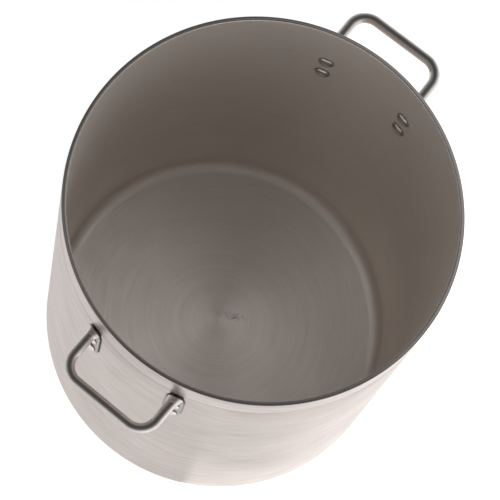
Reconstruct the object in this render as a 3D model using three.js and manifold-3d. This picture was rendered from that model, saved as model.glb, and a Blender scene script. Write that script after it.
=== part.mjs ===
// Brew kettle: a one-piece spun aluminium pot with two riveted loop handles.
//
// Millimetres, +Z up. The origin is the centre of the face the kettle rests on.
// The handles lie along the X axis: "right" is +X, "front" is -Y.

import * as THREE from "three";
import { mergeVertices } from "three/addons/utils/BufferGeometryUtils.js";
import Module from "manifold-3d";

// ---------------------------------------------------------------- dimensions

// Pot. One sheet thickness runs through the floor, the corner and the wall.
const POT_RADIUS = 200;
const POT_HEIGHT = 478;
const SHEET = 4.8;
const BASE_CORNER = 20; // outer radius where the floor turns up into the wall
const RIM_OUTER_ROUND = 1.2;
const RIM_INNER_ROUND = 1.6;

// Handles: a round rod bent into a U, level, with each leg welded to a foot plate.
const ROD_RADIUS = 5.5;
const ROD_BELOW_RIM = 44;
const LEG_SPACING = 104; // between the centrelines of the two legs
const GRIP_REACH = 246; // pot axis to the centreline of the grip bar
const ROD_BEND = 20; // centreline radius of the two bends
const HANDLE_SKEW_DEG = 1; // both handles sit this far round towards the back

// The weld fillet round the foot of each leg: how far it reaches from the rod's
// centreline at the plate, and how far along the leg it runs.
const WELD_REACH = { side: 8, up: 5.9, down: 12 };
const WELD_LENGTH = 9;
const WELD_ROOT = 6; // it starts this far behind the plate's face, to be coped off
const WELD_SINK = 0.5; // its far end lies this far inside the rod

// Foot plates: tongues rolled to the pot's radius, long and round above, blunt below.
const PLATE_WIDTH = 19;
const PLATE_THICKNESS = 2.5;
const PLATE_TOP_BELOW_RIM = 40.5;
const PLATE_BOTTOM_BELOW_RIM = 113;
const PLATE_CROWN = 21; // height of the half ellipse at the top
const PLATE_CORNER = 5; // radius of the two lower corners
const CUTTER_DEPTH = 40; // enough to pass through wall and plate

// Rivets: two to a foot plate, the made head inside and the set head outside.
const RIVETS_BELOW_RIM = { upper: 74, lower: 104.5 };
const SHANK_RADIUS = 4;
const INSIDE_HEAD_RADIUS = 8.2;
const INSIDE_HEAD_EDGE = 0.6;
const INSIDE_HEAD_HEIGHT = 3.8;
const OUTSIDE_HEAD_RADIUS = 6.5;
const OUTSIDE_HEAD_EDGE = 0.6;
const OUTSIDE_HEAD_HEIGHT = 3.2;

const GAP = 0.3; // clearance between two pieces that touch on the real kettle

// How finely round shapes are divided.
const POT_SIDES = 96;
const CORNER_STEPS = 8;
const RIM_STEPS = 2;
const ROD_SIDES = 16;
const ROD_STEPS = 32;
const RIVET_SIDES = 16;
const DOME_STEPS = 4;
const WELD_STEPS = 5;
const CROWN_STEPS = 14;
const PLATE_CORNER_STEPS = 3;

// Values that follow from the ones above.
const INSIDE_RADIUS = POT_RADIUS - SHEET;
const PLATE_BACK = POT_RADIUS + GAP;
const PLATE_FRONT = PLATE_BACK + PLATE_THICKNESS;
const ROD_END = PLATE_FRONT + GAP; // radius the rod's ends are coped to
const ROD_HEIGHT = POT_HEIGHT - ROD_BELOW_RIM;
const FOOT_ANGLE = Math.asin(LEG_SPACING / 2 / PLATE_FRONT);
const SKEW = THREE.MathUtils.degToRad(HANDLE_SKEW_DEG);
const SAME_VERTEX = 1e-4; // vertices closer than this are one vertex

// ----------------------------------------------------------------- materials

const spunAluminium = new THREE.MeshStandardMaterial({
  color: 0xb9b1ab,
  roughness: 0.38,
  metalness: 1,
});
const satinRod = new THREE.MeshStandardMaterial({
  color: 0xaea69f,
  roughness: 0.28,
  metalness: 1,
});
const rivetAluminium = new THREE.MeshStandardMaterial({
  color: 0xa69f98,
  roughness: 0.34,
  metalness: 1,
});

// ------------------------------------------------------------------- solids

const wasm = await Module();
wasm.setup();

/** A closed geometry as a solid that can be joined and cut. */
function toSolid(geometry) {
  const bare = geometry.clone();
  bare.deleteAttribute("normal");
  bare.deleteAttribute("uv");
  const merged = mergeVertices(bare, SAME_VERTEX);
  const mesh = new wasm.Mesh({
    numProp: 3,
    vertProperties: merged.attributes.position.array,
    triVerts: new Uint32Array(merged.index.array),
  });
  return new wasm.Manifold(mesh);
}

/** A solid as a geometry that a mesh can draw. */
function toGeometry(solid) {
  const mesh = solid.getMesh();
  const geometry = new THREE.BufferGeometry();
  geometry.setAttribute("position", new THREE.BufferAttribute(mesh.vertProperties, 3));
  geometry.setIndex(new THREE.BufferAttribute(mesh.triVerts, 1));
  geometry.computeVertexNormals();
  return geometry;
}

/** Points on an ellipse arc, both ends included, with the angles in degrees. */
function arc(centreX, centreY, radiusX, radiusY, from, to, steps) {
  const start = THREE.MathUtils.degToRad(from);
  const end = THREE.MathUtils.degToRad(to);
  const curve = new THREE.EllipseCurve(
    centreX, centreY, radiusX, radiusY, start, end, from > to,
  );
  return curve.getPoints(steps);
}

/** An upright solid cylinder round the pot's axis, tall enough to cut anything. */
function potCylinder(radius) {
  const cylinder = new THREE.CylinderGeometry(radius, radius, 2 * POT_HEIGHT, POT_SIDES);
  return toSolid(cylinder.rotateX(Math.PI / 2));
}

/** A hole for a rivet's shank, through wall and plate, along +X at height z. */
function rivetHole(z) {
  const radius = SHANK_RADIUS + GAP;
  const hole = new THREE.CylinderGeometry(radius, radius, CUTTER_DEPTH, RIVET_SIDES);
  return toSolid(hole.rotateZ(Math.PI / 2).translate(POT_RADIUS, 0, z));
}

// ------------------------------------------------------------------- layout

// Each handle has a heading round the pot's axis and a foot to either side of it.
const HANDLES = [
  { side: "right", heading: SKEW, feet: { front: -1, back: 1 } },
  { side: "left", heading: Math.PI - SKEW, feet: { front: 1, back: -1 } },
];

/** Every foot plate's name and heading. */
function footPlaces() {
  return HANDLES.flatMap(({ side, heading, feet }) =>
    Object.entries(feet).map(([end, turn]) => ({
      name: `${side}_${end}`,
      heading: heading + turn * FOOT_ANGLE,
    })),
  );
}

// ------------------------------------------------------------------- pieces

/** The spun pot: floor, corner, wall and rim in one, with its rivet holes. */
function potGeometry() {
  const cornerCentre = POT_RADIUS - BASE_CORNER;
  const innerCorner = BASE_CORNER - SHEET;
  const outerRimX = POT_RADIUS - RIM_OUTER_ROUND;
  const outerRimY = POT_HEIGHT - RIM_OUTER_ROUND;
  const innerRimX = INSIDE_RADIUS + RIM_INNER_ROUND;
  const innerRimY = POT_HEIGHT - RIM_INNER_ROUND;
  const profile = [
    new THREE.Vector2(0, 0),
    ...arc(cornerCentre, BASE_CORNER, BASE_CORNER, BASE_CORNER, -90, 0, CORNER_STEPS),
    ...arc(outerRimX, outerRimY, RIM_OUTER_ROUND, RIM_OUTER_ROUND, 0, 90, RIM_STEPS),
    ...arc(innerRimX, innerRimY, RIM_INNER_ROUND, RIM_INNER_ROUND, 90, 180, RIM_STEPS),
    ...arc(cornerCentre, BASE_CORNER, innerCorner, innerCorner, 0, -90, CORNER_STEPS),
    new THREE.Vector2(0, SHEET),
  ];
  let pot = toSolid(new THREE.LatheGeometry(profile, POT_SIDES).rotateX(Math.PI / 2));
  for (const drop of Object.values(RIVETS_BELOW_RIM)) {
    const hole = rivetHole(POT_HEIGHT - drop);
    for (const { heading } of footPlaces()) {
      pot = pot.subtract(hole.rotate([0, 0, THREE.MathUtils.radToDeg(heading)]));
    }
  }
  return toGeometry(pot);
}

/** The centreline of a handle: two legs, two bends and the grip bar, all level. */
class HandleCurve extends THREE.Curve {
  constructor() {
    super();
    const half = LEG_SPACING / 2;
    const bendX = GRIP_REACH - ROD_BEND;
    const bendY = half - ROD_BEND;
    this.outline = new THREE.Path()
      .moveTo(INSIDE_RADIUS * Math.cos(FOOT_ANGLE), -half)
      .lineTo(bendX, -half)
      .absarc(bendX, -bendY, ROD_BEND, -Math.PI / 2, 0, false)
      .lineTo(GRIP_REACH, bendY)
      .absarc(bendX, bendY, ROD_BEND, 0, Math.PI / 2, false)
      .lineTo(INSIDE_RADIUS * Math.cos(FOOT_ANGLE), half);
  }

  getPoint(t, target = new THREE.Vector3()) {
    const { x, y } = this.outline.getPoint(t);
    return target.set(x, y, ROD_HEIGHT);
  }
}

/** The weld fillet of the leg at +Y: a sleeve on the rod that swells towards the plate. */
function weldFillet() {
  const length = WELD_ROOT + WELD_LENGTH;
  const inner = ROD_RADIUS - WELD_SINK;
  const sleeve = new THREE.CylinderGeometry(inner, inner, length, ROD_SIDES, WELD_STEPS);
  sleeve.rotateZ(-Math.PI / 2).translate(length / 2 - WELD_ROOT, 0, 0);
  const points = sleeve.attributes.position;
  for (let i = 0; i < points.count; i++) {
    const share = 1 - Math.max(0, points.getX(i)) / WELD_LENGTH;
    const reach = points.getZ(i) > 0 ? WELD_REACH.up : WELD_REACH.down;
    points.setY(i, points.getY(i) * (1 + share ** 2 * (WELD_REACH.side / inner - 1)));
    points.setZ(i, points.getZ(i) * (1 + share ** 2 * (reach / inner - 1)));
  }
  const legX = PLATE_FRONT * Math.cos(FOOT_ANGLE);
  return toSolid(sleeve.translate(legX, LEG_SPACING / 2, ROD_HEIGHT));
}

/** A handle's rod with its weld fillets, its ends coped to the foot plates. */
function rodGeometry() {
  const section = new THREE.Shape().absarc(0, 0, ROD_RADIUS, 0, 2 * Math.PI, false);
  const sweep = new THREE.ExtrudeGeometry(section, {
    steps: ROD_STEPS,
    curveSegments: ROD_SIDES / 2,
    extrudePath: new HandleCurve(),
  });
  const fillet = weldFillet();
  const rod = toSolid(sweep)
    .add(fillet)
    .add(fillet.translate(0, -LEG_SPACING, 0))
    .subtract(potCylinder(ROD_END));
  return toGeometry(rod);
}

/** A foot plate, facing +X, with its two rivet holes. */
function plateGeometry() {
  const half = PLATE_WIDTH / 2;
  const crownBase = POT_HEIGHT - PLATE_TOP_BELOW_RIM - PLATE_CROWN;
  const cornerX = half - PLATE_CORNER;
  const cornerY = POT_HEIGHT - PLATE_BOTTOM_BELOW_RIM + PLATE_CORNER;
  const outline = new THREE.Shape([
    ...arc(0, crownBase, half, PLATE_CROWN, 0, 180, CROWN_STEPS),
    ...arc(-cornerX, cornerY, PLATE_CORNER, PLATE_CORNER, 180, 270, PLATE_CORNER_STEPS),
    ...arc(cornerX, cornerY, PLATE_CORNER, PLATE_CORNER, 270, 360, PLATE_CORNER_STEPS),
  ]);
  const strip = new THREE.ExtrudeGeometry(outline, {
    depth: CUTTER_DEPTH,
    bevelEnabled: false,
  });
  strip.rotateX(Math.PI / 2).rotateZ(Math.PI / 2);
  strip.translate(POT_RADIUS - CUTTER_DEPTH / 2, 0, 0);
  let plate = toSolid(strip)
    .intersect(potCylinder(PLATE_FRONT))
    .subtract(potCylinder(PLATE_BACK));
  for (const drop of Object.values(RIVETS_BELOW_RIM)) {
    plate = plate.subtract(rivetHole(POT_HEIGHT - drop));
  }
  return toGeometry(plate);
}

/** A set rivet along +X, at height 0: domed head, shank, outside head. */
function rivetGeometry() {
  const insideSag = INSIDE_RADIUS - Math.sqrt(INSIDE_RADIUS ** 2 - INSIDE_HEAD_RADIUS ** 2);
  const insideSeat = INSIDE_RADIUS - insideSag - GAP;
  const outsideSeat = PLATE_FRONT + GAP;
  const insideDome = insideSeat - INSIDE_HEAD_EDGE;
  const outsideDome = outsideSeat + OUTSIDE_HEAD_EDGE;
  const insideRise = INSIDE_HEAD_HEIGHT - INSIDE_HEAD_EDGE;
  const outsideRise = OUTSIDE_HEAD_HEIGHT - OUTSIDE_HEAD_EDGE;
  const profile = [
    ...arc(0, insideDome, INSIDE_HEAD_RADIUS, insideRise, -90, 0, DOME_STEPS),
    new THREE.Vector2(INSIDE_HEAD_RADIUS, insideSeat),
    new THREE.Vector2(SHANK_RADIUS, insideSeat),
    new THREE.Vector2(SHANK_RADIUS, outsideSeat),
    new THREE.Vector2(OUTSIDE_HEAD_RADIUS, outsideSeat),
    ...arc(0, outsideDome, OUTSIDE_HEAD_RADIUS, outsideRise, 0, 90, DOME_STEPS),
  ];
  return new THREE.LatheGeometry(profile, RIVET_SIDES).rotateZ(-Math.PI / 2);
}

// ----------------------------------------------------------------- assembly

/** Adds a named mesh to the kettle, turned to a heading and lifted to a height. */
function place(kettle, name, geometry, material, heading = 0, height = 0) {
  const mesh = new THREE.Mesh(geometry, material);
  mesh.name = name;
  mesh.rotation.z = heading;
  mesh.position.z = height;
  kettle.add(mesh);
}

const kettle = new THREE.Group();
place(kettle, "kettle_body", potGeometry(), spunAluminium);

const rod = rodGeometry();
for (const { side, heading } of HANDLES) {
  place(kettle, `handle_rod_${side}`, rod, satinRod, heading);
}

const plate = plateGeometry();
const rivet = rivetGeometry();
for (const foot of footPlaces()) {
  place(kettle, `foot_plate_${foot.name}`, plate, satinRod, foot.heading);
  for (const [row, drop] of Object.entries(RIVETS_BELOW_RIM)) {
    const name = `rivet_${foot.name}_${row}`;
    place(kettle, name, rivet, rivetAluminium, foot.heading, POT_HEIGHT - drop);
  }
}

export default kettle;
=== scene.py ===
import math

import bmesh
import bpy
from mathutils import Matrix, Vector, noise


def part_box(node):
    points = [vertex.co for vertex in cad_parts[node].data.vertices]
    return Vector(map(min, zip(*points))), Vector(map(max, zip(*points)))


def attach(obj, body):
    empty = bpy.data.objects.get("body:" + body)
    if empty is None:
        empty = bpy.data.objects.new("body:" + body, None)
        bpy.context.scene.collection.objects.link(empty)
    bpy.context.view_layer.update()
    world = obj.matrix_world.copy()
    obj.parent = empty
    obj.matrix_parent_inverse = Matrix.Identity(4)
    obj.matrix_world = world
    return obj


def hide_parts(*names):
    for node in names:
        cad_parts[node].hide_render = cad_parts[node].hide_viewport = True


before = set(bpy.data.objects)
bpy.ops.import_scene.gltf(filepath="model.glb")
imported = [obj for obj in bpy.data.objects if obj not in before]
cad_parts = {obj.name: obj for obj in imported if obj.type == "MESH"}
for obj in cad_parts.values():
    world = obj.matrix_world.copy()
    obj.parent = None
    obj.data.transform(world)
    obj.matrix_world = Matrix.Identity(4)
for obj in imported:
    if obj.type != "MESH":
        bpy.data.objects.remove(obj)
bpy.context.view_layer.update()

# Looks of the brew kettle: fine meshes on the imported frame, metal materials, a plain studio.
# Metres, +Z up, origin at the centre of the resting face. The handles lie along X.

MM = 0.001

# ---------------------------------------------------------------- dimensions

POT_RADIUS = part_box("kettle_body")[1].x
POT_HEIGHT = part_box("kettle_body")[1].z
SHEET = 4.8 * MM
INSIDE_RADIUS = POT_RADIUS - SHEET
BASE_CORNER = 20 * MM
RIM_OUTER_ROUND = 1.2 * MM
RIM_INNER_ROUND = 1.6 * MM
RIM_OUTER_STEPS = 6
RIM_INNER_STEPS = 8
RIM_CROWN = 0.5 * MM  # the rim's darker copy of the metal, painted shade for the dark it reflects, reaches this far down
POT_SIDES = 360
FLOOR_LOOPS = [60 * MM, 130 * MM]  # radii of the mesh's rings on the floor
WALL_LOOPS = [100 * MM, 200 * MM, 300 * MM]  # heights of the mesh's rings on the wall
RIVET_BAND = 6 * MM  # the wall has a mesh ring this far above and below each row of rivets
CORNER_STEPS = 24

SCRIBE_BELOW_RIM = 35 * MM  # the layout line turned into the wall above the handles
SCRIBE_WIDTH = 0.9 * MM
SCRIBE_DEPTH = 0.25 * MM
CENTRE_DIMPLE_RADIUS = 2.6 * MM  # left in the floor by the spinning centre
CENTRE_DIMPLE_DEPTH = 0.5 * MM
CENTRE_DIMPLE_BOWL = ((0.75, 0.55), (0.4, 0.9))  # shares of its radius and its depth
CENTRE_RING_RADIUS = 5.2 * MM
CENTRE_RING_DEPTH = 0.12 * MM
CENTRE_RING_TOP = 1.2 * MM  # the groove's half width at the floor
CENTRE_RING_BOTTOM = 0.5 * MM

ROD_RADIUS = 5.5 * MM
ROD_BELOW_RIM = 44 * MM
HALF_LEGS = 52 * MM  # from the handle's middle to each leg's centreline
GRIP_REACH = 246 * MM  # pot axis to the grip bar's centreline
ROD_BEND = 20 * MM
HANDLE_SKEW = math.radians(1)
ROD_SIDES = 40
BEND_STEPS = 16
LEG_STEPS = 6
WELD_SIDE = 8 * MM  # how far the weld fillet reaches from the rod's centreline at the plate
WELD_UP = 5.9 * MM
WELD_DOWN = 12 * MM
WELD_LENGTH = 9 * MM
WELD_STEPS = 12
WELD_LUMPS = 0.06  # share of the fillet's reach
LUMP_SPREAD = 1.6  # cells of noise from the rod's centreline to its skin
LUMP_LENGTH = 2 * MM
NEXT_WELD = 9.1  # cells of noise from one weld's lumps to the next weld's
WELD_SHOWN = 0.7  # share of the fillet's length that has the weld's look
COPE_FADE = 22 * MM  # the rod's skin evens out from the coped end over this length

GAP = 0.3 * MM
PLATE_WIDTH = 19 * MM
PLATE_BACK = POT_RADIUS + GAP
PLATE_FRONT = PLATE_BACK + 2.5 * MM
PLATE_CROWN = 21 * MM  # height of the half ellipse at the top
PLATE_CORNER = 5 * MM
PLATE_CORNER_LEAST = 2 * MM  # the mesh's inner loops keep their corners this round
PLATE_EDGE_ROUND = 0.8 * MM
PLATE_BACK_CHAMFER = 0.24 * MM
PLATE_INNER_LOOPS = (0.3, 0.6, 0.9)  # insets of the mesh's inner loops, in half widths
PLATE_CROWN_STEPS = 40
PLATE_SIDE_STEPS = 8
PLATE_CORNER_STEPS = 8
PLATE_EDGE_STEPS = 6

RIVETS_BELOW_RIM = {"upper": 74 * MM, "lower": 104.5 * MM}
SHANK_RADIUS = 4 * MM
HOLE_RADIUS = SHANK_RADIUS + GAP
INSIDE_HEAD_RADIUS = 8.2 * MM
INSIDE_HEAD_HEIGHT = 3.8 * MM
OUTSIDE_HEAD_RADIUS = 6.5 * MM
OUTSIDE_HEAD_HEIGHT = 3.2 * MM
HEAD_EDGE = 0.6 * MM  # the upright edge under each domed head
DOME_STEPS = 14
RIVET_SIDES = 48
DENT_WIDTH = 3.5 * MM
DENT_DEPTH = 0.22 * MM
NEXT_RIVET = 7.3  # cells of noise from one rivet's dents to the next rivet's
CUTTER_LENGTH = 40 * MM

SHARP_ANGLE = math.radians(35)  # steeper edges than this are shaded sharp
FOOT_ANGLE = math.asin(HALF_LEGS / PLATE_FRONT)
ROD_HEIGHT = POT_HEIGHT - ROD_BELOW_RIM
HANDLES = (
    ("right", HANDLE_SKEW, {"front": -1, "back": 1}),
    ("left", math.pi - HANDLE_SKEW, {"front": 1, "back": -1}),
)


# -------------------------------------------------------------------- meshes

def arc(centre, radii, start, end, steps):
    """Points on an ellipse arc in the (radius, height) plane, angles in degrees."""
    points = []
    for i in range(steps + 1):
        a = math.radians(start + (end - start) * i / steps)
        points.append((centre[0] + radii[0] * math.cos(a), centre[1] + radii[1] * math.sin(a)))
    return points


def lathe(profile, sides):
    """A closed mesh from a (radius, height) profile that starts and ends on the Z axis."""
    bm = bmesh.new()
    rings = []
    for radius, height in profile[1:-1]:
        turn = (2 * math.pi * i / sides for i in range(sides))
        rings.append([bm.verts.new((radius * math.cos(a), radius * math.sin(a), height)) for a in turn])
    first = bm.verts.new((0, 0, profile[0][1]))
    last = bm.verts.new((0, 0, profile[-1][1]))
    for i in range(sides):
        j = (i + 1) % sides
        bm.faces.new((first, rings[0][j], rings[0][i]))
        for low, high in zip(rings, rings[1:]):
            bm.faces.new((low[i], low[j], high[j], high[i]))
        bm.faces.new((rings[-1][i], rings[-1][j], last))
    return bm


def add_piece(name, bm, materials, node):
    """Turns a bmesh into a smooth-shaded piece that stands for a CAD node."""
    bmesh.ops.recalc_face_normals(bm, faces=bm.faces)
    mesh = bpy.data.meshes.new(name)
    bm.to_mesh(mesh)
    bm.free()
    mesh.shade_smooth()
    mesh.set_sharp_from_angle(angle=SHARP_ANGLE)
    for material in materials:
        mesh.materials.append(material)
    piece = bpy.data.objects.new(name, mesh)
    bpy.context.scene.collection.objects.link(piece)
    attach(piece, "root")
    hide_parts(node)
    return piece


def rivet_hole(heading, height):
    """A cutter for one rivet hole, through the wall and its foot plate."""
    bm = bmesh.new()
    turn = Matrix.Rotation(heading, 4, "Z") @ Matrix.Translation((POT_RADIUS, 0, height))
    bmesh.ops.create_cone(
        bm,
        cap_ends=True,
        segments=RIVET_SIDES,
        radius1=HOLE_RADIUS,
        radius2=HOLE_RADIUS,
        depth=CUTTER_LENGTH,
        matrix=turn @ Matrix.Rotation(math.pi / 2, 4, "Y"),
    )
    mesh = bpy.data.meshes.new("rivet_hole")
    bm.to_mesh(mesh)
    bm.free()
    cutter = bpy.data.objects.new("rivet_hole", mesh)
    bpy.context.scene.collection.objects.link(cutter)
    return cutter


def drill(piece, headings):
    """Drills the upper and lower rivet holes through the piece at each heading."""
    heights = [POT_HEIGHT - drop for drop in RIVETS_BELOW_RIM.values()]
    cutters = [rivet_hole(heading, height) for heading in headings for height in heights]
    for cutter in cutters:
        modifier = piece.modifiers.new("cut", "BOOLEAN")
        modifier.operation = "DIFFERENCE"
        modifier.solver = "EXACT"
        modifier.object = cutter
    evaluated = piece.evaluated_get(bpy.context.evaluated_depsgraph_get())
    mesh = bpy.data.meshes.new_from_object(evaluated)
    piece.modifiers.clear()
    piece.data = mesh
    mesh.set_sharp_from_angle(angle=SHARP_ANGLE)
    for cutter in cutters:
        bpy.data.objects.remove(cutter)


def foot_places():
    """Every foot plate's name and heading."""
    for side, heading, feet in HANDLES:
        for end, turn in feet.items():
            yield f"{side}_{end}", heading + turn * FOOT_ANGLE


# ----------------------------------------------------------------------- pot

def rivet_band_heights():
    """Heights of the wall's mesh rings just clear of each row of rivets."""
    rows = sorted(POT_HEIGHT - drop for drop in RIVETS_BELOW_RIM.values())
    return [row + side * RIVET_BAND for row in rows for side in (-1, 1)]


def scribe_line():
    """The V-shaped layout line in the outside wall, from below to above."""
    middle = POT_HEIGHT - SCRIBE_BELOW_RIM
    half = SCRIBE_WIDTH / 2
    return [
        (POT_RADIUS, middle - half),
        (POT_RADIUS - SCRIBE_DEPTH, middle),
        (POT_RADIUS, middle + half),
    ]


def spinning_centre():
    """The floor's centre mark, from the outer ring in to the middle of the dimple."""
    ring = CENTRE_RING_RADIUS
    dimple = CENTRE_DIMPLE_RADIUS
    return [
        (ring + CENTRE_RING_TOP, SHEET),
        (ring + CENTRE_RING_BOTTOM, SHEET - CENTRE_RING_DEPTH),
        (ring - CENTRE_RING_BOTTOM, SHEET - CENTRE_RING_DEPTH),
        (ring - CENTRE_RING_TOP, SHEET),
        (dimple, SHEET),
        *[(out * dimple, SHEET - down * CENTRE_DIMPLE_DEPTH) for out, down in CENTRE_DIMPLE_BOWL],
        (0, SHEET - CENTRE_DIMPLE_DEPTH),
    ]


def pot_profile():
    """The section through the pot's sheet, from the outside centre to the inside centre."""
    corner = (POT_RADIUS - BASE_CORNER, BASE_CORNER)
    inner = BASE_CORNER - SHEET
    outer_rim = (POT_RADIUS - RIM_OUTER_ROUND, POT_HEIGHT - RIM_OUTER_ROUND)
    inner_rim = (INSIDE_RADIUS + RIM_INNER_ROUND, POT_HEIGHT - RIM_INNER_ROUND)
    loops = [*WALL_LOOPS, *rivet_band_heights()]
    return [
        (0, 0),
        *[(radius, 0) for radius in FLOOR_LOOPS],
        *arc(corner, (BASE_CORNER, BASE_CORNER), -90, 0, CORNER_STEPS),
        *[(POT_RADIUS, height) for height in loops],
        *scribe_line(),
        *arc(outer_rim, (RIM_OUTER_ROUND, RIM_OUTER_ROUND), 0, 90, RIM_OUTER_STEPS),
        *arc(inner_rim, (RIM_INNER_ROUND, RIM_INNER_ROUND), 90, 180, RIM_INNER_STEPS),
        *[(INSIDE_RADIUS, height) for height in reversed(loops)],
        *arc(corner, (inner, inner), 0, -90, CORNER_STEPS),
        *[(radius, SHEET) for radius in reversed(FLOOR_LOOPS)],
        *spinning_centre(),
    ]


def add_pot(outside, inside, rim):
    """The spun pot, with its rivet holes cut through."""
    metals = [outside, inside, rim]
    pot = add_piece("pot", lathe(pot_profile(), POT_SIDES), metals, "kettle_body")
    drill(pot, [heading for _, heading in foot_places()])
    paint_pot(pot)
    return pot


def paint_pot(pot):
    """Gives the inside its own finish, and the rim's crown a darker copy of the metal as painted shade.
    """
    crown = POT_HEIGHT - RIM_CROWN
    for face in pot.data.polygons:
        middle = face.center
        within = math.hypot(middle.x, middle.y) < POT_RADIUS - SHEET / 2
        face.material_index = int(within and middle.z > SHEET / 2)
        if middle.z > crown:
            face.material_index = 2


# ------------------------------------------------------------------- handles

def leg_stations():
    """Distances along a leg from its foot plate, closer together in the weld."""
    straight = GRIP_REACH - ROD_BEND - PLATE_FRONT * math.cos(FOOT_ANGLE) - GAP
    weld = [WELD_LENGTH * i / WELD_STEPS for i in range(WELD_STEPS)]
    shaft = [WELD_LENGTH + (straight - WELD_LENGTH) * i / LEG_STEPS for i in range(LEG_STEPS + 1)]
    return weld + shaft


def handle_stations():
    """(centre x, centre y, heading, distance from the plate or None) along the rod."""
    foot_x = GRIP_REACH - ROD_BEND - leg_stations()[-1]
    bend_x = GRIP_REACH - ROD_BEND
    bend_y = HALF_LEGS - ROD_BEND
    out = [(foot_x + d, -HALF_LEGS, 0.0, d) for d in leg_stations()]
    for i in range(1, BEND_STEPS + 1):
        a = math.pi / 2 * i / BEND_STEPS
        out.append((bend_x + ROD_BEND * math.sin(a), -bend_y - ROD_BEND * math.cos(a), a, None))
    mirrored = [(x, -y, math.pi - a, d) for x, y, a, d in reversed(out)]
    return out + mirrored


def rod_section(distance, around, seed):
    """(side, up) from the rod's centreline to its skin, swollen by the weld near the plate."""
    side = math.cos(around)
    up = math.sin(around)
    if distance is None or distance >= WELD_LENGTH:
        return ROD_RADIUS * side, ROD_RADIUS * up
    share = (1 - distance / WELD_LENGTH) ** 2
    reach = WELD_UP if up > 0 else WELD_DOWN
    along = distance / LUMP_LENGTH + NEXT_WELD * seed
    lumps = noise.noise(Vector((LUMP_SPREAD * side, LUMP_SPREAD * up, along)))
    lumpy = 1 + WELD_LUMPS * (math.sin(math.pi * math.sqrt(share)) * lumps - share / 2)
    return (
        lumpy * side * (ROD_RADIUS + share * (WELD_SIDE - ROD_RADIUS)),
        lumpy * up * (ROD_RADIUS + share * (reach - ROD_RADIUS)),
    )


def rod_mesh(seed):
    """The bent rod with a weld fillet at each end, its ends coped to the foot plates."""
    bm = bmesh.new()
    rings = []
    cope = PLATE_FRONT + GAP
    for x, y, heading, distance in handle_stations():
        ring = []
        for i in range(ROD_SIDES):
            around = 2 * math.pi * i / ROD_SIDES
            side, up = rod_section(distance, around, seed + (y > 0))
            vertex = Vector((x + side * math.sin(heading), y - side * math.cos(heading), 0))
            if distance is not None:
                fade = max(0.0, 1 - distance / COPE_FADE) ** 2
                skew = math.sqrt(cope ** 2 - vertex.y ** 2) - math.sqrt(cope ** 2 - y ** 2)
                vertex.x += fade * skew
            vertex.z = ROD_HEIGHT + up
            ring.append(bm.verts.new(vertex))
        rings.append(ring)
    for low, high in zip(rings, rings[1:]):
        for i in range(ROD_SIDES):
            j = (i + 1) % ROD_SIDES
            bm.faces.new((low[i], low[j], high[j], high[i]))
    bm.faces.new(rings[0])
    bm.faces.new(rings[-1])
    return bm


def add_rods(rod_metal, weld_metal):
    """Both handle rods, each turned to its heading."""
    for seed, (side, heading, _) in enumerate(HANDLES):
        bm = rod_mesh(2 * seed)
        bmesh.ops.rotate(bm, verts=bm.verts, matrix=Matrix.Rotation(heading, 3, "Z"))
        rod = add_piece(
            f"rod_{side}", bm, [rod_metal, weld_metal], f"handle_rod_{side}"
        )
        reach = PLATE_FRONT * math.cos(FOOT_ANGLE) + WELD_SHOWN * WELD_LENGTH
        axis = Vector((math.cos(heading), math.sin(heading), 0))
        for face in rod.data.polygons:
            face.material_index = int(face.center.dot(axis) < reach)


# --------------------------------------------------------------- foot plates

def tongue(inset, top, bottom):
    """The plate's outline drawn in by an inset: half ellipse above, two round corners below."""
    half = PLATE_WIDTH / 2 - inset
    corner = min(max(PLATE_CORNER - inset, PLATE_CORNER_LEAST), 0.9 * half)
    low = bottom + inset + corner
    shoulder = top - PLATE_CROWN
    crown = arc((0, shoulder), (half, PLATE_CROWN - inset), 0, 180, PLATE_CROWN_STEPS)
    drop = (low - shoulder) / PLATE_SIDE_STEPS
    sides = [shoulder + drop * i for i in range(1, PLATE_SIDE_STEPS)]
    left = [(-half, height) for height in sides]
    foot = [
        *arc((corner - half, low), (corner, corner), 180, 270, PLATE_CORNER_STEPS),
        *arc((half - corner, low), (corner, corner), 270, 360, PLATE_CORNER_STEPS),
    ]
    right = [(half, height) for height in reversed(sides)]
    return crown + left + foot + right


def plate_loops():
    """(inset from the outline, radius from the pot's axis) from the plate's back to its front."""
    edge = PLATE_EDGE_ROUND
    front = [
        (edge - edge * math.cos(a), PLATE_FRONT - edge + edge * math.sin(a))
        for a in (math.pi / 2 * i / PLATE_EDGE_STEPS for i in range(PLATE_EDGE_STEPS + 1))
    ]
    middle = [(share * PLATE_WIDTH / 2, PLATE_FRONT) for share in PLATE_INNER_LOOPS]
    back = [(inset, PLATE_BACK) for inset, _ in reversed(middle)]
    chamfer = [(PLATE_BACK_CHAMFER, PLATE_BACK), (0, PLATE_BACK + PLATE_BACK_CHAMFER)]
    return back + chamfer + front + middle


def plate_mesh(top, bottom):
    """A tongue rolled to the pot's radius, facing +X."""
    bm = bmesh.new()
    loops = []
    for inset, radius in plate_loops():
        outline = tongue(inset, top, bottom)
        loops.append([bm.verts.new((math.sqrt(radius ** 2 - y ** 2), y, z)) for y, z in outline])
    count = len(loops[0])
    for inner, outer in zip(loops, loops[1:]):
        for i in range(count):
            j = (i + 1) % count
            bm.faces.new((inner[i], inner[j], outer[j], outer[i]))
    bm.faces.new(loops[0])
    bm.faces.new(loops[-1])
    return bm


def add_plates(metal):
    """The four foot plates, with their rivet holes."""
    for name, heading in foot_places():
        node = f"foot_plate_{name}"
        low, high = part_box(node)
        bm = plate_mesh(high.z, low.z)
        bmesh.ops.rotate(bm, verts=bm.verts, matrix=Matrix.Rotation(heading, 3, "Z"))
        plate = add_piece(f"plate_{name}", bm, [metal], node)
        drill(plate, [heading])


# -------------------------------------------------------------------- rivets

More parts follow.
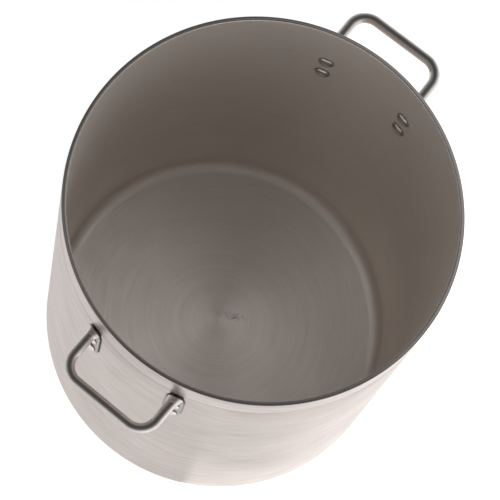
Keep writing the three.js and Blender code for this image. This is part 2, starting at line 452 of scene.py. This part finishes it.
def rivet_profile():
    """(radius, distance from the pot's axis) round a set rivet, inside head first."""
    sag = INSIDE_RADIUS - math.sqrt(INSIDE_RADIUS ** 2 - INSIDE_HEAD_RADIUS ** 2)
    inside_seat = INSIDE_RADIUS - sag - GAP
    outside_seat = PLATE_FRONT + GAP
    chamfer = 0.1 * MM
    inside = (INSIDE_HEAD_RADIUS, INSIDE_HEAD_HEIGHT - HEAD_EDGE)
    outside = (OUTSIDE_HEAD_RADIUS, OUTSIDE_HEAD_HEIGHT - HEAD_EDGE)
    return [
        *arc((0, inside_seat - HEAD_EDGE), inside, -90, 0, DOME_STEPS),
        (INSIDE_HEAD_RADIUS, inside_seat - chamfer),
        (INSIDE_HEAD_RADIUS - 2 * chamfer, inside_seat),
        (SHANK_RADIUS, inside_seat),
        (SHANK_RADIUS, outside_seat),
        (OUTSIDE_HEAD_RADIUS - 2 * chamfer, outside_seat),
        (OUTSIDE_HEAD_RADIUS, outside_seat + chamfer),
        *arc((0, outside_seat + HEAD_EDGE), outside, 0, 90, DOME_STEPS),
    ]


def hammer(bm, seed):
    """Dents a rivet's heads a little, as setting it does."""
    for vertex in bm.verts:
        place = Vector((vertex.co.x, vertex.co.y, 0)) / DENT_WIDTH
        dent = noise.noise(place + Vector((0, 0, NEXT_RIVET * seed)))
        outward = 1 if vertex.co.z > POT_RADIUS else -1
        if vertex.co.z > PLATE_FRONT + 2 * GAP or vertex.co.z < INSIDE_RADIUS - 4 * GAP:
            vertex.co.z += outward * DENT_DEPTH * (dent - 0.5)


def add_rivets(metal):
    """The eight rivets, each along its foot's heading."""
    seed = 0
    for name, heading in foot_places():
        for row, drop in RIVETS_BELOW_RIM.items():
            seed += 1
            bm = lathe(rivet_profile(), RIVET_SIDES)
            hammer(bm, seed)
            lie = Matrix.Rotation(math.pi / 2, 4, "Y")
            lift = Matrix.Translation((0, 0, POT_HEIGHT - drop))
            turn = Matrix.Rotation(heading, 4, "Z")
            bmesh.ops.transform(bm, verts=bm.verts, matrix=turn @ lift @ lie)
            add_piece(f"rivet_{name}_{row}_head", bm, [metal], f"rivet_{name}_{row}")


# ----------------------------------------------------------------- materials

# The dark colour of painted shade, and of the scratches in the floor's scuff
SHADE_AND_SCUFF_COLOUR = (0.03, 0.026, 0.023)
# Painted shade in crevices, from ambient occlusion: how far it looks for other pieces
CREVICE_SHADE_REACH = 3 * MM
CREVICE_SHADE_SKY = (0.55, 0.92)  # open share of the sky where the painted crevice shade is full, and where it ends
QUARTER_TURN = 0.25  # spreads the highlight across the turning lines
SPUN_UNEVEN = 0.25  # share by which the roughness varies
SPUN_CLOUDS = 7.0  # changes of tone in a metre
SATIN_UNEVEN = 0.3
SATIN_CLOUDS = 70.0
SATIN_EDGE_SHADE = (0.5, 0.95)  # how far a face turns away where its painted shade starts and ends

# Painted shadow along the scribe line below the rim
SCRIBE_SHADE = 0.2
SCRIBE_SHADE_REACH = (1.0 * MM, 2.2 * MM)  # painted shadow: full up to the first distance, none past the second
# Painted shade on a foot plate's edge next to the wall
PLATE_EDGE_SHADE_SHARE = 0.85
PLATE_EDGE_SHADE_REACH = (PLATE_FRONT - 1.2 * MM, PLATE_FRONT - 0.3 * MM)  # radii: full behind, none before
SCUFF_AT = (16 * MM, -11 * MM, SHEET)
SCUFF_SIZE = (20 * MM, 7 * MM, 20 * MM)
SCUFF_HEADING = math.radians(-60)
SCUFF_GRAIN = 3.5 * MM
SCUFF_DARKNESS = 0.55
SCUFF_CUTS = (0.5, 0.6)  # noise values where a scratch starts and is at its darkest
SCUFF_FADE = (0.3, 1.0)  # shares of the patch's size where it starts and ends fading


def add_node(tree, kind, inputs=None, **settings):
    """A shader node with its settings made and its inputs linked or filled in."""
    node = tree.nodes.new("ShaderNode" + kind)
    for key, value in settings.items():
        setattr(node, key, value)
    for name, value in (inputs or {}).items():
        if isinstance(value, bpy.types.NodeSocket):
            tree.links.new(value, node.inputs[name])
        else:
            node.inputs[name].default_value = value
    return node


def math_node(tree, operation, *values):
    """The result of a math node on up to three numbers or sockets."""
    return add_node(tree, "Math", dict(enumerate(values)), operation=operation).outputs[0]


def vector_node(tree, operation, *values):
    """The result of a vector math node: a number for a length or a dot product."""
    node = add_node(tree, "VectorMath", dict(enumerate(values)), operation=operation)
    return node.outputs["Value" if operation in ("LENGTH", "DOT_PRODUCT") else "Vector"]


def ramp(tree, value, start, end, low, high, **settings):
    """Low where the value is up to start, high where it is past end, and a slope between."""
    inputs = {"Value": value, "From Min": start, "From Max": end, "To Min": low, "To Max": high}
    return add_node(tree, "MapRange", inputs, **settings).outputs["Result"]


def place_on_object(tree):
    """The shaded point in the object's frame, which for the kettle's pieces is the kettle's."""
    return add_node(tree, "TexCoord").outputs["Object"]


def axis_distance(tree):
    """How far the shaded point is from the Z axis."""
    flat = vector_node(tree, "MULTIPLY", place_on_object(tree), (1, 1, 0))
    return vector_node(tree, "LENGTH", flat)


def noise_at(tree, where, scale, detail=2.0, **more):
    """A noise texture's value from 0 to 1."""
    inputs = {"Vector": where, "Scale": scale, "Detail": detail, **more}
    dimensions = "4D" if "W" in more else "3D"
    node = add_node(tree, "TexNoise", inputs, noise_dimensions=dimensions)
    return node.outputs["Fac"]


def turning_lines(tree, width, along):
    """Noise drawn out into lines round the pot's axis.

    A line is about width wide. On the wall the noise changes about along times in a radian,
    and less often nearer the axis, where whole rings form."""
    xyz = add_node(tree, "SeparateXYZ", {"Vector": place_on_object(tree)})
    x, y, z = (xyz.outputs[axis] for axis in "XYZ")
    radius = axis_distance(tree)
    stretch = math_node(tree, "MULTIPLY", radius, along / POT_RADIUS ** 2)
    inputs = {
        "X": math_node(tree, "MULTIPLY", x, stretch),
        "Y": math_node(tree, "MULTIPLY", y, stretch),
        "Z": math_node(tree, "DIVIDE", radius, width),
    }
    place = add_node(tree, "CombineXYZ", inputs).outputs[0]
    return noise_at(tree, place, 1.0, W=math_node(tree, "DIVIDE", z, width))


def blend(tree, *weighted):
    """The sum of (weight, value) pairs, kept centred on a half."""
    total = 0.5
    for weight, value in weighted:
        centred = math_node(tree, "SUBTRACT", value, 0.5)
        total = math_node(tree, "MULTIPLY_ADD", centred, weight, total)
    return total


def new_material(name):
    """An empty node material and its Principled shader."""
    material = bpy.data.materials.new(name)
    material.use_nodes = True
    tree = material.node_tree
    return material, tree, tree.nodes["Principled BSDF"]


def mix_colour(tree, share, first, second):
    """One colour fading to another. Each may be a colour or a socket."""
    node = add_node(tree, "Mix", data_type="RGBA")
    sockets = {socket.identifier: socket for socket in node.inputs}
    tree.links.new(share, sockets["Factor_Float"])
    for key, colour in (("A_Color", first), ("B_Color", second)):
        if isinstance(colour, bpy.types.NodeSocket):
            tree.links.new(colour, sockets[key])
        else:
            sockets[key].default_value = (*colour, 1)
    return {socket.identifier: socket for socket in node.outputs}["Result_Color"]


def darken_with_shade_and_scuff(tree, share, colour):
    """A colour fading to the dark colour of painted shade and of scuff scratches."""
    return mix_colour(tree, share, colour, SHADE_AND_SCUFF_COLOUR)


def painted_crevice_shade(tree, colour, crevice_shade):
    """Painted shade: darkens a colour, by up to the given share, where another piece or fold is a few
    millimetres off.
    """
    inputs = {"Distance": CREVICE_SHADE_REACH}
    open_sky = add_node(tree, "AmbientOcclusion", inputs, samples=8).outputs["AO"]
    return darken_with_shade_and_scuff(tree, ramp(tree, open_sky, *CREVICE_SHADE_SKY, crevice_shade, 0.0), colour)


def finish_metal(tree, shader, colour, roughness, height, depth):
    """Wires a metal's colour, roughness and relief to its shader."""
    relief = add_node(tree, "Bump", {"Height": height, "Distance": depth}).outputs[0]
    for socket, value in {"Base Color": colour, "Roughness": roughness, "Normal": relief}.items():
        tree.links.new(value, shader.inputs[socket])
    shader.inputs["Metallic"].default_value = 1.0


def spun_metal(name, light, dark, roughness, anisotropy, depth, lines, crevice_shade, wear_and_shade):
    """Aluminium with turning lines round the pot's axis.

    Each set of lines has a weight, a line's width and how often it changes in a radian."""
    material, tree, shader = new_material(name)
    turned = [(weight, turning_lines(tree, width, along)) for weight, width, along in lines]
    relief = blend(tree, *turned)
    clouds = noise_at(tree, place_on_object(tree), SPUN_CLOUDS, 4.0)
    tone = blend(tree, (1.0, relief), (0.5, clouds))
    # The last argument adds marks to the colour: real wear for some pieces, painted shade for others.
    colour = wear_and_shade(tree, mix_colour(tree, tone, dark, light))
    spread = SPUN_UNEVEN * roughness
    rough = ramp(tree, tone, 0.0, 1.0, roughness + spread, roughness - spread)
    finish_metal(tree, shader, painted_crevice_shade(tree, colour, crevice_shade), rough, relief, depth)
    tangent = add_node(tree, "Tangent", direction_type="RADIAL", axis="Z")
    tree.links.new(tangent.outputs[0], shader.inputs["Tangent"])
    shader.inputs["Anisotropic"].default_value = anisotropy
    shader.inputs["Anisotropic Rotation"].default_value = QUARTER_TURN
    return material


def scribe_shadow(tree, colour):
    """The layout line: a painted shadow, a darker band round the outside below the rim."""
    height = add_node(tree, "SeparateXYZ", {"Vector": place_on_object(tree)}).outputs["Z"]
    above = math_node(tree, "SUBTRACT", height, POT_HEIGHT - SCRIBE_BELOW_RIM)
    distance = math_node(tree, "ABSOLUTE", above)
    return darken_with_shade_and_scuff(tree, ramp(tree, distance, *SCRIBE_SHADE_REACH, SCRIBE_SHADE, 0.0), colour)


def floor_scuff(tree, colour):
    """A small patch of scratches beside the floor's centre."""
    where = place_on_object(tree)
    inputs = {
        "Vector": vector_node(tree, "SUBTRACT", where, SCUFF_AT),
        "Rotation": (0, 0, SCUFF_HEADING),
        "Scale": SCUFF_SIZE,
    }
    patch = add_node(tree, "Mapping", inputs, vector_type="TEXTURE").outputs[0]
    near = ramp(tree, vector_node(tree, "LENGTH", patch), *SCUFF_FADE, 1.0, 0.0)
    scratches = noise_at(tree, where, 1 / SCUFF_GRAIN, 3.0, Distortion=2.5)
    deep = ramp(tree, scratches, *SCUFF_CUTS, 0.0, SCUFF_DARKNESS)
    return darken_with_shade_and_scuff(tree, math_node(tree, "MULTIPLY", near, deep), colour)


def even(tree, colour):
    """No wear and no painted shade of its own."""
    return colour


def plate_edge_shade(tree, colour):
    """A foot plate's sheared edge next to the wall, darkened with painted shade."""
    return darken_with_shade_and_scuff(tree, ramp(tree, axis_distance(tree), *PLATE_EDGE_SHADE_REACH, PLATE_EDGE_SHADE_SHARE, 0.0), colour)


def satin_metal(name, light, dark, roughness, grain, depth, edge, crevice_shade, wear_and_shade):
    """Plain satin aluminium with a fine grain and painted shade on its grazing edges, for the small
    pieces.
    """
    material, tree, shader = new_material(name)
    where = place_on_object(tree)
    fine = noise_at(tree, where, 1 / grain, 3.0)
    clouds = noise_at(tree, where, SATIN_CLOUDS, 3.0)
    tone = blend(tree, (0.8, fine), (0.8, clouds))
    # The last argument adds marks to the colour; for the foot plates that is painted shade.
    colour = wear_and_shade(tree, mix_colour(tree, tone, dark, light))
    # Painted shade: the colour darkens where the surface turns away from the camera, by up to edge.
    facing = add_node(tree, "LayerWeight", {"Blend": 0.5}).outputs["Facing"]
    colour = darken_with_shade_and_scuff(tree, ramp(tree, facing, *SATIN_EDGE_SHADE, 0.0, edge), colour)
    spread = SATIN_UNEVEN * roughness
    rough = ramp(tree, tone, 0.0, 1.0, roughness + spread, roughness - spread)
    finish_metal(tree, shader, painted_crevice_shade(tree, colour, crevice_shade), rough, fine, depth)
    return material


# -------------------------------------------------------------------- studio

FLOOR_SIZE = 40.0
FLOOR_DROP = 0.5 * MM  # keeps it clear of the face that the kettle rests on
FLOOR_GREY = 0.35
GLOW_TOWARDS = (0.6, -0.8, 0)  # the floor glows more this way
GLOW_SPAN = (0.04, 0.36)  # from the pot's axis, where the glow starts and stops growing
GLOW = (0.9, 1.32)
PATCH_CORNER = (-0.181, -0.085, 0)  # a point on the brighter patch's straight side
PATCH_SIDE = (0.65, -0.76, 0)  # the patch lies this way from its straight side
PATCH_EDGE = 0.01  # how soft that side is
PATCH_REACH = 0.1  # the patch fades away this far out from the wall
PATCH_GLOW = 0.75

SKY = (  # brightness against height above the horizon, as the sine of its angle
    (0.0, 1.0),
    (0.2, 0.85),
    (0.5, 0.55),
    (0.7, 0.32),
    (0.82, 0.17),
    (0.92, 0.12),
    (1.0, 0.1),
)
SKY_SLANT = (-0.25, -0.45, 0)  # how much brighter it is to the left and the front
SOFTBOX_DISTANCE = 2.6
SOFTBOXES = (  # name, azimuth and elevation in degrees, side in metres, brightness
    ("softbox_left", -167.5, 69.6, 1.1, 0.34),
    ("softbox_right", 77.7, 63.7, 1.1, 0.72),
    ("softbox_top", 105.7, 73.2, 2.2, 0.09),
)

CAMERA_AIM = Vector((0.9, -3.2, 322.3)) * MM
CAMERA_AZIMUTH = -74.45
CAMERA_ELEVATION = 73.2
CAMERA_ROLL = math.radians(23.3)
CAMERA_DISTANCE = 2.4495
CAMERA_LENS = 168.4
CAMERA_SIGHT = 50


def floor_glow(tree):
    """The floor's own light: brighter to the front right and in a patch by the wall."""
    where = place_on_object(tree)
    across = vector_node(tree, "DOT_PRODUCT", where, GLOW_TOWARDS)
    glow = ramp(tree, across, *GLOW_SPAN, *GLOW, interpolation_type="SMOOTHSTEP")
    shift = vector_node(tree, "SUBTRACT", where, PATCH_CORNER)
    side = vector_node(tree, "DOT_PRODUCT", shift, PATCH_SIDE)
    beside = ramp(tree, side, 0.0, PATCH_EDGE, 0.0, 1.0)
    reach = POT_RADIUS + PATCH_REACH
    close = ramp(tree, axis_distance(tree), POT_RADIUS, reach, PATCH_GLOW, 0.0)
    return math_node(tree, "MULTIPLY_ADD", beside, close, glow)


def add_floor():
    """A plain pale floor that also glows, so that it stays pale round the kettle."""
    bm = bmesh.new()
    bmesh.ops.create_grid(bm, x_segments=8, y_segments=8, size=FLOOR_SIZE / 2)
    mesh = bpy.data.meshes.new("floor")
    bm.to_mesh(mesh)
    bm.free()
    material, tree, shader = new_material("floor_white")
    shader.inputs["Base Color"].default_value = (FLOOR_GREY, FLOOR_GREY, FLOOR_GREY, 1)
    shader.inputs["Roughness"].default_value = 0.9
    shader.inputs["Specular IOR Level"].default_value = 0.0
    shader.inputs["Emission Color"].default_value = (1, 1, 1, 1)
    tree.links.new(floor_glow(tree), shader.inputs["Emission Strength"])
    mesh.materials.append(material)
    floor = bpy.data.objects.new("floor", mesh)
    floor.location.z = -FLOOR_DROP
    bpy.context.scene.collection.objects.link(floor)


def add_sky():
    """A studio dome, bright at the horizon and dark overhead round the camera."""
    world = bpy.data.worlds.new("studio")
    bpy.context.scene.world = world
    world.use_nodes = True
    tree = world.node_tree
    where = add_node(tree, "TexCoord").outputs["Generated"]
    height = add_node(tree, "SeparateXYZ", {"Vector": where}).outputs["Z"]
    shades = add_node(tree, "ValToRGB", {"Fac": height})
    stops = shades.color_ramp.elements
    while len(stops) < len(SKY):
        stops.new(0.5)
    for stop, (position, brightness) in zip(stops, SKY):
        stop.position = position
        stop.color = (brightness, brightness, brightness, 1)
    tree.links.new(shades.outputs["Color"], tree.nodes["Background"].inputs["Color"])
    slant = vector_node(tree, "DOT_PRODUCT", where, SKY_SLANT)
    slanted = math_node(tree, "ADD", slant, 1.0)
    # Where the camera sees the dome itself, its strength is at least 1.
    seen = add_node(tree, "LightPath").outputs["Is Camera Ray"]
    strength = math_node(tree, "MAXIMUM", slanted, seen)
    tree.links.new(strength, tree.nodes["Background"].inputs["Strength"])


def direction(azimuth, elevation):
    """The unit vector towards an azimuth and elevation in degrees; azimuth 0 is the front."""
    a = math.radians(azimuth)
    e = math.radians(elevation)
    return Vector((math.sin(a) * math.cos(e), -math.cos(a) * math.cos(e), math.sin(e)))


def add_softbox(name, azimuth, elevation, size, brightness, lit):
    """A square area light that faces the kettle, isn't seen itself and lights one collection."""
    light = bpy.data.lights.new(name, "AREA")
    light.shape = "SQUARE"
    light.size = size
    light.energy = math.pi * size ** 2 * brightness  # gives its face this radiance
    box = bpy.data.objects.new(name, light)
    box.visible_camera = False
    back = direction(azimuth, elevation)
    box.location = Vector((0, 0, POT_HEIGHT / 2)) + SOFTBOX_DISTANCE * back
    box.rotation_euler = (-back).to_track_quat("-Z", "Y").to_euler()
    box.light_linking.receiver_collection = lit
    bpy.context.scene.collection.objects.link(box)


def add_camera():
    """The camera, looking steeply down into the kettle with the picture rolled."""
    back = direction(CAMERA_AZIMUTH, CAMERA_ELEVATION)
    camera = bpy.data.cameras.new("camera")
    camera.lens = CAMERA_LENS
    camera.clip_end = CAMERA_SIGHT
    holder = bpy.data.objects.new("camera", camera)
    holder.location = CAMERA_AIM + CAMERA_DISTANCE * back
    level = (-back).to_track_quat("-Z", "Y")
    roll = Matrix.Rotation(CAMERA_ROLL, 4, "Z").to_quaternion()
    holder.rotation_euler = (level @ roll).to_euler()
    bpy.context.scene.collection.objects.link(holder)
    bpy.context.scene.camera = holder


# ------------------------------------------------------------------ assembly

outside = spun_metal(
    "spun_outside",
    light=(0.74, 0.66, 0.62),
    dark=(0.38, 0.335, 0.31),
    roughness=0.34,
    anisotropy=0.8,
    depth=0.08 * MM,
    lines=[(0.8, 0.6 * MM, 6.0), (1.0, 1.3 * MM, 5.0), (0.35, 4 * MM, 2.5)],
    crevice_shade=0.88,
    wear_and_shade=scribe_shadow,
)
inside = spun_metal(
    "spun_inside",
    light=(0.97, 0.905, 0.85),
    dark=(0.75, 0.69, 0.64),
    roughness=0.42,
    anisotropy=0.8,
    depth=0.03 * MM,
    lines=[(0.7, 0.7 * MM, 9.0), (0.5, 1.3 * MM, 6.0), (0.15, 6 * MM, 2.0)],
    crevice_shade=0.5,
    wear_and_shade=floor_scuff,
)
# The rim's crown: a darker copy of the aluminium, painted shade standing in for the dark overhead that
# it reflects.
rim = spun_metal(
    "turned_rim_shaded_copy",
    light=(0.32, 0.29, 0.275),
    dark=(0.24, 0.22, 0.205),
    roughness=0.2,
    anisotropy=0.5,
    depth=0.01 * MM,
    lines=[(0.8, 0.7 * MM, 9.0)],
    crevice_shade=0.88,
    wear_and_shade=even,
)
rod_metal = satin_metal(
    "rod_satin",
    light=(0.68, 0.64, 0.6),
    dark=(0.43, 0.4, 0.375),
    roughness=0.2,
    grain=0.9 * MM,
    depth=0.03 * MM,
    edge=0.5,
    crevice_shade=0.88,
    wear_and_shade=even,
)
weld_metal = satin_metal(
    "weld_satin",
    light=(0.8, 0.755, 0.71),
    dark=(0.5, 0.465, 0.435),
    roughness=0.3,
    grain=1.4 * MM,
    depth=0.4 * MM,
    edge=0.4,
    crevice_shade=0.6,
    wear_and_shade=even,
)
plate_metal = satin_metal(
    "plate_satin",
    light=(0.6, 0.56, 0.52),
    dark=(0.4, 0.37, 0.345),
    roughness=0.32,
    grain=1.2 * MM,
    depth=0.1 * MM,
    edge=0.6,
    crevice_shade=0.88,
    wear_and_shade=plate_edge_shade,
)
rivet_metal = satin_metal(
    "rivet_satin",
    light=(0.86, 0.8, 0.75),
    dark=(0.62, 0.57, 0.53),
    roughness=0.32,
    grain=1.0 * MM,
    depth=0.05 * MM,
    edge=0.15,
    crevice_shade=0.5,
    wear_and_shade=even,
)

pot = add_pot(outside, inside, rim)
add_rods(rod_metal, weld_metal)
add_plates(plate_metal)
add_rivets(rivet_metal)

add_floor()
add_sky()
pot_only = bpy.data.collections.new("pot_only")
pot_only.objects.link(pot)
for softbox in SOFTBOXES:
    add_softbox(*softbox, pot_only)
add_camera()
bpy.context.scene.view_settings.view_transform = "Standard"
